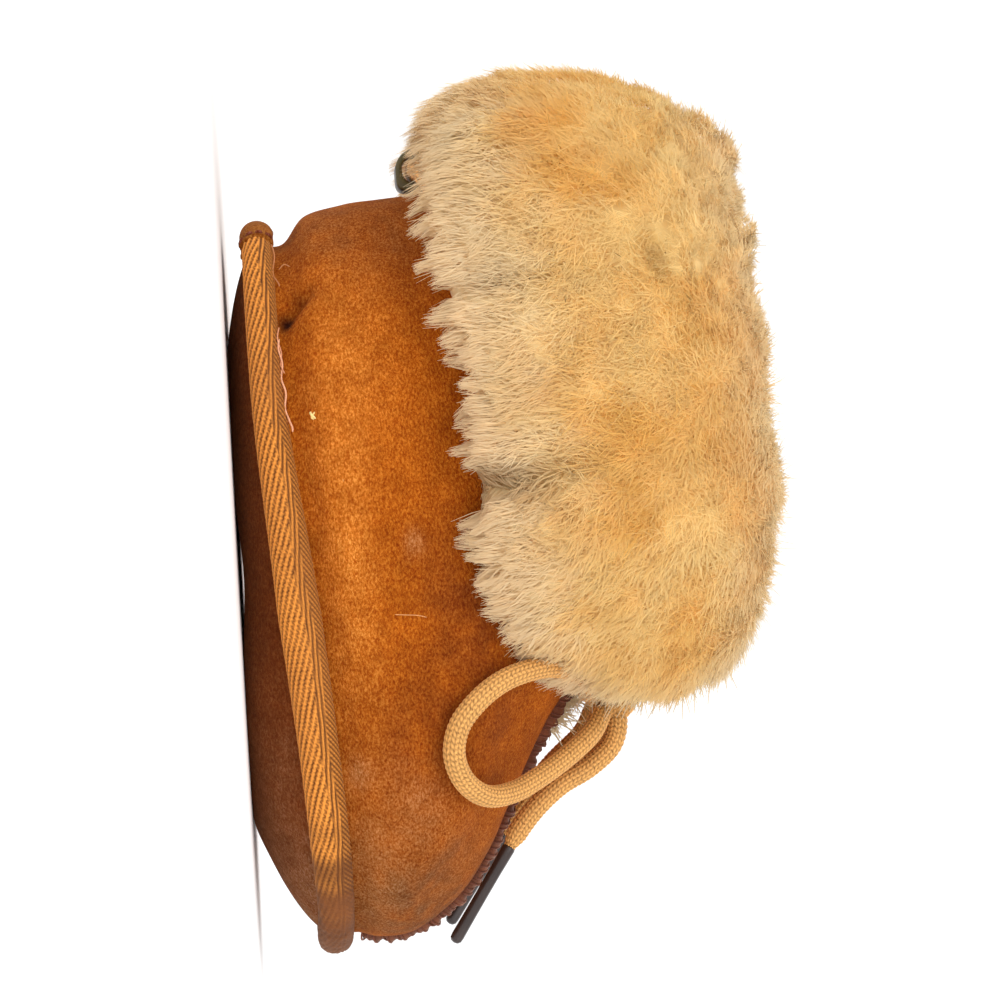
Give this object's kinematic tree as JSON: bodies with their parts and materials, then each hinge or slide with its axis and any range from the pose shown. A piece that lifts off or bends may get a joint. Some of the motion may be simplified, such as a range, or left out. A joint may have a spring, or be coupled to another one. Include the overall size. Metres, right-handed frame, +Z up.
{
  "type": "sheepskin bootie",
  "caption": "Soft baby bootie of chestnut suede with a padded sole, bound seam, deep turned-down wool cuff and a braided lace tied in a bow.",
  "frame": {"origin": "on the floor, under the middle of the shoe without its bow", "axes": "+X to the toe, +Y to the shoe's left, +Z up"},
  "size_m": [0.1508, 0.0902, 0.0903],
  "materials": {
    "suede": "napped chestnut suede, dusty at the toe",
    "sole_suede": "darker worn suede",
    "wool": "deep honey sheepskin wool",
    "insole_wool": "flattened wool pile",
    "tape": "herringbone woven binding",
    "thread": "overlocked thread over suede",
    "keeper": "dark smooth leather",
    "lace": "round braid",
    "aglet": "dark shrunk plastic"
  },
  "bodies": {
    "root": {"outsole": "sole_suede", "insole": "insole_wool", "upper": "suede", "binding_tape": "tape", "heel_patch": "suede", "front_seam": "thread", "cuff": "wool", "heel_loop": "keeper", "lace_ankle": "lace", "lace_knot": "lace", "lace_loop_right": "lace", "lace_loop_left": "lace", "lace_end_right": "lace", "lace_end_left": "lace", "aglet_right": "aglet", "aglet_left": "aglet"}
  },
  "joints": []
}
